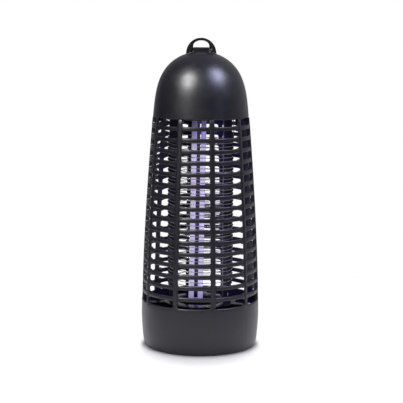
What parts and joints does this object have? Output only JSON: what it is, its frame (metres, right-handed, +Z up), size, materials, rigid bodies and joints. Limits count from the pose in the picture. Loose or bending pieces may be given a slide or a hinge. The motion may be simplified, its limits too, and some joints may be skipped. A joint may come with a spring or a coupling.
{
  "type": "electric bug zapper",
  "caption": "Lantern-shaped electric insect killer: tapered grille body, domed cover with a folding hanging loop, UV lamp inside a high-voltage wire grid, pull-out tray.",
  "frame": {"origin": "centre of the footprint, on the surface it stands on", "axes": "+Z up, -Y the front, +X to the right seen from the front"},
  "size_m": [0.13, 0.13, 0.3388],
  "materials": {
    "charcoal_plastic": "satin moulded ABS, charcoal",
    "black_plastic": "satin moulded plastic, black",
    "lamp_glass": "phosphor-coated UV lamp glass, lit lavender",
    "steel": "drawn and zinc-plated steel",
    "board_laminate": "green laminate",
    "ferrite": "dull sintered ferrite",
    "copper_winding": "enamelled copper",
    "film_resin": "dipped resin",
    "capacitor_sleeve": "shrink sleeve",
    "white_plastic": "white heat-resistant plastic"
  },
  "bodies": {
    "lantern": {"outer_cage": "charcoal_plastic", "top_cover": "charcoal_plastic", "loop_pin": "steel", "switch_housing": "black_plastic", "cord_inlet": "black_plastic", "deck_plate": "black_plastic", "cover_screw_1": "steel", "cover_screw_2": "steel", "cover_screw_3": "steel", "cover_screw_4": "steel", "circuit_board": "board_laminate", "transformer_core": "ferrite", "transformer_coil": "copper_winding", "film_capacitor_1": "film_resin", "film_capacitor_2": "film_resin", "film_capacitor_3": "film_resin", "filter_capacitor": "capacitor_sleeve", "lamp_socket": "white_plastic", "lamp_cap": "white_plastic", "uv_lamp": "lamp_glass", "grid_wire_live": "steel", "grid_wire_return": "steel", "grid_post_right": "black_plastic", "grid_post_rear": "black_plastic", "grid_post_left": "black_plastic", "post_screw_top_1": "steel", "post_screw_top_2": "steel", "post_screw_top_3": "steel", "post_screw_bottom_1": "steel", "post_screw_bottom_2": "steel", "post_screw_bottom_3": "steel", "grid_lead_live": "steel", "grid_lead_return": "steel", "grid_spider": "black_plastic", "spider_screw_1": "steel", "spider_screw_2": "steel", "spider_screw_3": "steel"},
    "loop": {"hanging_loop": "black_plastic"},
    "rocker": {"switch_rocker": "black_plastic"},
    "tray": {"collection_tray": "charcoal_plastic"}
  },
  "joints": [
    {"name": "loop_fold", "type": "hinge", "parent": "lantern", "child": "loop", "pos_m": [0, 0, 0.3262], "axis": [1, 0, 0], "range_deg": [-88, 88]},
    {"name": "rocker_tilt", "type": "hinge", "parent": "lantern", "child": "rocker", "pos_m": [0, 0.04901, 0.286], "axis": [1, 0, 0], "range_deg": [-20, 0]},
    {"name": "tray_pull", "type": "slide", "parent": "lantern", "child": "tray", "axis": [0, 0, -1], "range_m": [0, 0.09]}
  ]
}
